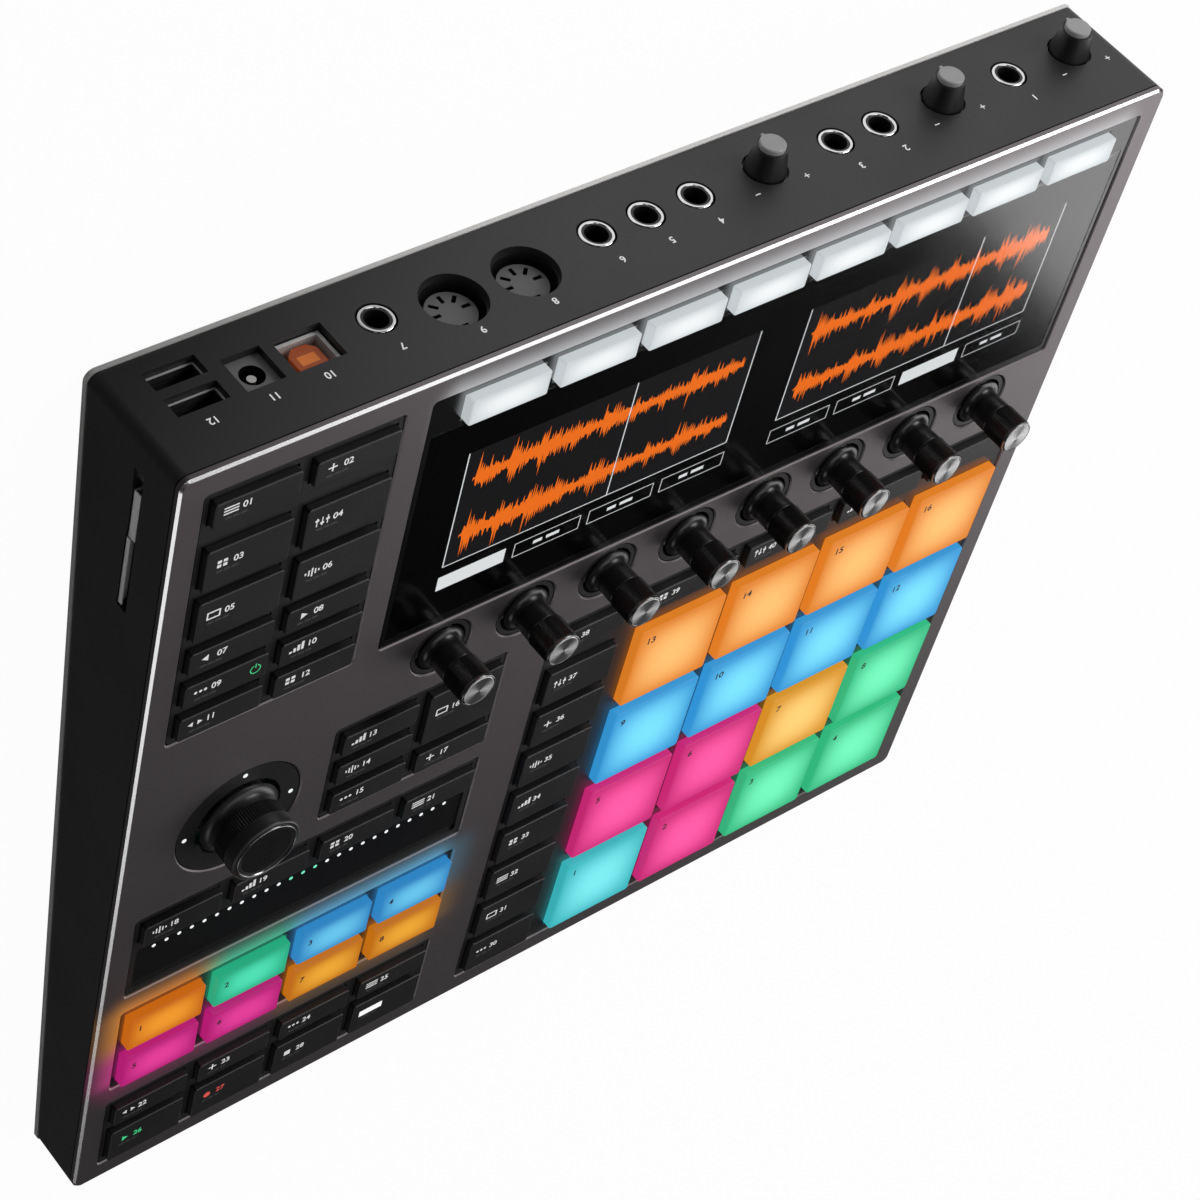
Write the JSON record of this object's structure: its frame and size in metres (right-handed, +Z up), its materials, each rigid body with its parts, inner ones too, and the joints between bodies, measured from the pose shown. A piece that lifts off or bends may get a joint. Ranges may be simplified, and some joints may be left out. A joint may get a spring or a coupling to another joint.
{
  "type": "groovebox",
  "caption": "Wedge-shaped desktop groovebox with a grid of lit pads, key banks, twin screens, turning knobs, a touch strip and rear audio sockets.",
  "frame": {"origin": "on the table under the middle of the whole part, between the feet", "axes": "+X to the player's right, +Y to the rear panel, +Z up from the table"},
  "size_m": [0.3222, 0.3036, 0.0516],
  "materials": {
    "face_aluminium": "dark satin anodised",
    "black_shell": "fine matte",
    "bare_aluminium": "satin",
    "steel": "plain",
    "foot_rubber": "matte",
    "black_frame": "matte",
    "screen_glass": "gloss",
    "screen": "lit picture",
    "strip_plastic": "satin",
    "light_pipe": "clear, lit",
    "board": "solder mask",
    "mat_rubber": "matte",
    "sensor_sheet": "matte",
    "encoder_metal": "plain",
    "socket_metal": "bright",
    "socket_plastic": "satin",
    "inner_plastic": "matte",
    "knob_plastic": "satin",
    "level_plastic": "satin",
    "key_plastic": "fine matte",
    "group_lit": "translucent, lit in several colours",
    "display_lit": "translucent, lit white",
    "pad_cyan": "translucent, lit",
    "pad_pink": "translucent, lit",
    "pad_green": "translucent, lit",
    "pad_amber": "translucent, lit",
    "pad_blue": "translucent, lit",
    "pad_orange": "translucent, lit"
  },
  "bodies": {
    "case": {"top_plate": "face_aluminium", "housing": "black_shell", "base_plate": "bare_aluminium", "case_screws": "steel", "rubber_feet": "foot_rubber", "button_frame": "black_frame", "display_frame": "black_frame", "display_glass": "screen_glass", "display_panels": "screen", "touch_strip": "strip_plastic", "indicator_lights": "light_pipe", "control_board": "board", "keypad_mat": "mat_rubber", "pad_sensors": "sensor_sheet", "main_board": "board", "rotary_bodies": "encoder_metal", "jack_sockets": "socket_metal", "midi_sockets": "socket_plastic", "usb_sockets": "socket_metal", "power_inlet": "socket_plastic", "card_reader": "socket_metal"},
    "nav_gimbal": {"nav_gimbal": "inner_plastic"},
    "nav_cradle": {"nav_cradle": "inner_plastic"},
    "nav_plunger": {"nav_plunger": "steel"},
    "nav_knob": {"nav_knob": "knob_plastic"},
    "upper_keys": {"upper_keys": "key_plastic"},
    "master_keys": {"master_keys": "key_plastic"},
    "strip_keys": {"strip_keys": "key_plastic"},
    "group_keys": {"group_keys": "group_lit"},
    "transport_keys": {"transport_keys": "key_plastic"},
    "scene_keys": {"scene_keys": "key_plastic"},
    "mode_keys": {"mode_keys": "key_plastic"},
    "display_keys": {"display_keys": "display_lit"},
    "pad_01": {"pad_01": "pad_cyan"},
    "pad_02": {"pad_02": "pad_pink"},
    "pad_03": {"pad_03": "pad_green"},
    "pad_04": {"pad_04": "pad_green"},
    "pad_05": {"pad_05": "pad_pink"},
    "pad_06": {"pad_06": "pad_pink"},
    "pad_07": {"pad_07": "pad_amber"},
    "pad_08": {"pad_08": "pad_green"},
    "pad_09": {"pad_09": "pad_blue"},
    "pad_10": {"pad_10": "pad_blue"},
    "pad_11": {"pad_11": "pad_blue"},
    "pad_12": {"pad_12": "pad_blue"},
    "pad_13": {"pad_13": "pad_orange"},
    "pad_14": {"pad_14": "pad_orange"},
    "pad_15": {"pad_15": "pad_orange"},
    "pad_16": {"pad_16": "pad_orange"},
    "encoder_knob_1": {"encoder_knob_1": "knob_plastic"},
    "encoder_knob_2": {"encoder_knob_2": "knob_plastic"},
    "encoder_knob_3": {"encoder_knob_3": "knob_plastic"},
    "encoder_knob_4": {"encoder_knob_4": "knob_plastic"},
    "encoder_knob_5": {"encoder_knob_5": "knob_plastic"},
    "encoder_knob_6": {"encoder_knob_6": "knob_plastic"},
    "encoder_knob_7": {"encoder_knob_7": "knob_plastic"},
    "encoder_knob_8": {"encoder_knob_8": "knob_plastic"},
    "level_knob_1": {"level_knob_1": "level_plastic"},
    "level_knob_2": {"level_knob_2": "level_plastic"},
    "level_knob_3": {"level_knob_3": "level_plastic"}
  },
  "joints": [
    {"name": "upper_keys_press", "type": "slide", "parent": "case", "child": "upper_keys", "axis": [0, 0.0652, -0.9979], "range_m": [0, 0.0007], "stiffness_N_per_m": 1500, "springref_m": -0.0006},
    {"name": "master_keys_press", "type": "slide", "parent": "case", "child": "master_keys", "axis": [0, 0.0652, -0.9979], "range_m": [0, 0.0007], "stiffness_N_per_m": 1500, "springref_m": -0.0006},
    {"name": "strip_keys_press", "type": "slide", "parent": "case", "child": "strip_keys", "axis": [0, 0.0652, -0.9979], "range_m": [0, 0.0007], "stiffness_N_per_m": 1500, "springref_m": -0.0006},
    {"name": "group_keys_press", "type": "slide", "parent": "case", "child": "group_keys", "axis": [0, 0.0652, -0.9979], "range_m": [0, 0.0007], "stiffness_N_per_m": 1500, "springref_m": -0.0006},
    {"name": "transport_keys_press", "type": "slide", "parent": "case", "child": "transport_keys", "axis": [0, 0.0652, -0.9979], "range_m": [0, 0.0007], "stiffness_N_per_m": 1500, "springref_m": -0.0006},
    {"name": "scene_keys_press", "type": "slide", "parent": "case", "child": "scene_keys", "axis": [0, 0.0652, -0.9979], "range_m": [0, 0.0007], "stiffness_N_per_m": 1500, "springref_m": -0.0006},
    {"name": "mode_keys_press", "type": "slide", "parent": "case", "child": "mode_keys", "axis": [0, 0.0652, -0.9979], "range_m": [0, 0.0007], "stiffness_N_per_m": 1500, "springref_m": -0.0006},
    {"name": "display_keys_press", "type": "slide", "parent": "case", "child": "display_keys", "axis": [0, 0.0652, -0.9979], "range_m": [0, 0.0007], "stiffness_N_per_m": 1500, "springref_m": -0.0006},
    {"name": "pad_01_press", "type": "slide", "parent": "case", "child": "pad_01", "axis": [0, 0.0652, -0.9979], "range_m": [0, 0.0005], "stiffness_N_per_m": 2000, "springref_m": -0.0005},
    {"name": "pad_02_press", "type": "slide", "parent": "case", "child": "pad_02", "axis": [0, 0.0652, -0.9979], "range_m": [0, 0.0005], "stiffness_N_per_m": 2000, "springref_m": -0.0005},
    {"name": "pad_03_press", "type": "slide", "parent": "case", "child": "pad_03", "axis": [0, 0.0652, -0.9979], "range_m": [0, 0.0005], "stiffness_N_per_m": 2000, "springref_m": -0.0005},
    {"name": "pad_04_press", "type": "slide", "parent": "case", "child": "pad_04", "axis": [0, 0.0652, -0.9979], "range_m": [0, 0.0005], "stiffness_N_per_m": 2000, "springref_m": -0.0005},
    {"name": "pad_05_press", "type": "slide", "parent": "case", "child": "pad_05", "axis": [0, 0.0652, -0.9979], "range_m": [0, 0.0005], "stiffness_N_per_m": 2000, "springref_m": -0.0005},
    {"name": "pad_06_press", "type": "slide", "parent": "case", "child": "pad_06", "axis": [0, 0.0652, -0.9979], "range_m": [0, 0.0005], "stiffness_N_per_m": 2000, "springref_m": -0.0005},
    {"name": "pad_07_press", "type": "slide", "parent": "case", "child": "pad_07", "axis": [0, 0.0652, -0.9979], "range_m": [0, 0.0005], "stiffness_N_per_m": 2000, "springref_m": -0.0005},
    {"name": "pad_08_press", "type": "slide", "parent": "case", "child": "pad_08", "axis": [0, 0.0652, -0.9979], "range_m": [0, 0.0005], "stiffness_N_per_m": 2000, "springref_m": -0.0005},
    {"name": "pad_09_press", "type": "slide", "parent": "case", "child": "pad_09", "axis": [0, 0.0652, -0.9979], "range_m": [0, 0.0005], "stiffness_N_per_m": 2000, "springref_m": -0.0005},
    {"name": "pad_10_press", "type": "slide", "parent": "case", "child": "pad_10", "axis": [0, 0.0652, -0.9979], "range_m": [0, 0.0005], "stiffness_N_per_m": 2000, "springref_m": -0.0005},
    {"name": "pad_11_press", "type": "slide", "parent": "case", "child": "pad_11", "axis": [0, 0.0652, -0.9979], "range_m": [0, 0.0005], "stiffness_N_per_m": 2000, "springref_m": -0.0005},
    {"name": "pad_12_press", "type": "slide", "parent": "case", "child": "pad_12", "axis": [0, 0.0652, -0.9979], "range_m": [0, 0.0005], "stiffness_N_per_m": 2000, "springref_m": -0.0005},
    {"name": "pad_13_press", "type": "slide", "parent": "case", "child": "pad_13", "axis": [0, 0.0652, -0.9979], "range_m": [0, 0.0005], "stiffness_N_per_m": 2000, "springref_m": -0.0005},
    {"name": "pad_14_press", "type": "slide", "parent": "case", "child": "pad_14", "axis": [0, 0.0652, -0.9979], "range_m": [0, 0.0005], "stiffness_N_per_m": 2000, "springref_m": -0.0005},
    {"name": "pad_15_press", "type": "slide", "parent": "case", "child": "pad_15", "axis": [0, 0.0652, -0.9979], "range_m": [0, 0.0005], "stiffness_N_per_m": 2000, "springref_m": -0.0005},
    {"name": "pad_16_press", "type": "slide", "parent": "case", "child": "pad_16", "axis": [0, 0.0652, -0.9979], "range_m": [0, 0.0005], "stiffness_N_per_m": 2000, "springref_m": -0.0005},
    {"name": "encoder_knob_1_turn", "type": "hinge", "parent": "case", "child": "encoder_knob_1", "pos_m": [-0.0665, 0.03361, 0.03469], "axis": [0, -0.0652, 0.9979], "continuous": true},
    {"name": "encoder_knob_2_turn", "type": "hinge", "parent": "case", "child": "encoder_knob_2", "pos_m": [-0.0383, 0.03361, 0.03469], "axis": [0, -0.0652, 0.9979], "continuous": true},
    {"name": "encoder_knob_3_turn", "type": "hinge", "parent": "case", "child": "encoder_knob_3", "pos_m": [-0.0101, 0.03361, 0.03469], "axis": [0, -0.0652, 0.9979], "continuous": true},
    {"name": "encoder_knob_4_turn", "type": "hinge", "parent": "case", "child": "encoder_knob_4", "pos_m": [0.0181, 0.03361, 0.03469], "axis": [0, -0.0652, 0.9979], "continuous": true},
    {"name": "encoder_knob_5_turn", "type": "hinge", "parent": "case", "child": "encoder_knob_5", "pos_m": [0.0463, 0.03361, 0.03469], "axis": [0, -0.0652, 0.9979], "continuous": true},
    {"name": "encoder_knob_6_turn", "type": "hinge", "parent": "case", "child": "encoder_knob_6", "pos_m": [0.0745, 0.03361, 0.03469], "axis": [0, -0.0652, 0.9979], "continuous": true},
    {"name": "encoder_knob_7_turn", "type": "hinge", "parent": "case", "child": "encoder_knob_7", "pos_m": [0.1027, 0.03361, 0.03469], "axis": [0, -0.0652, 0.9979], "continuous": true},
    {"name": "encoder_knob_8_turn", "type": "hinge", "parent": "case", "child": "encoder_knob_8", "pos_m": [0.1309, 0.03361, 0.03469], "axis": [0, -0.0652, 0.9979], "continuous": true},
    {"name": "level_knob_1_turn", "type": "hinge", "parent": "case", "child": "level_knob_1", "pos_m": [0.14518, 0.14295, 0.01778], "axis": [0, 0.9979, 0.0652], "range_deg": [-150, 150]},
    {"name": "level_knob_2_turn", "type": "hinge", "parent": "case", "child": "level_knob_2", "pos_m": [0.09679, 0.14295, 0.01778], "axis": [0, 0.9979, 0.0652], "range_deg": [-150, 150]},
    {"name": "level_knob_3_turn", "type": "hinge", "parent": "case", "child": "level_knob_3", "pos_m": [0.03328, 0.14295, 0.01778], "axis": [0, 0.9979, 0.0652], "range_deg": [-150, 150]},
    {"name": "nav_tilt_fore", "type": "hinge", "parent": "case", "child": "nav_gimbal", "pos_m": [-0.12518, -0.00036, 0.02785], "axis": [1, 0, 0], "range_deg": [-4, 4], "stiffness_Nm_per_rad": 2},
    {"name": "nav_tilt_side", "type": "hinge", "parent": "nav_gimbal", "child": "nav_cradle", "pos_m": [-0.12518, -0.00036, 0.02785], "axis": [0, 0.9979, 0.0652], "range_deg": [-4, 4], "stiffness_Nm_per_rad": 2},
    {"name": "nav_press", "type": "slide", "parent": "nav_cradle", "child": "nav_plunger", "axis": [0, 0.0652, -0.9979], "range_m": [0, 0.0008], "stiffness_N_per_m": 1500, "springref_m": -0.0006},
    {"name": "nav_turn", "type": "hinge", "parent": "nav_plunger", "child": "nav_knob", "pos_m": [-0.12518, -0.00066, 0.03245], "axis": [0, -0.0652, 0.9979], "continuous": true}
  ]
}
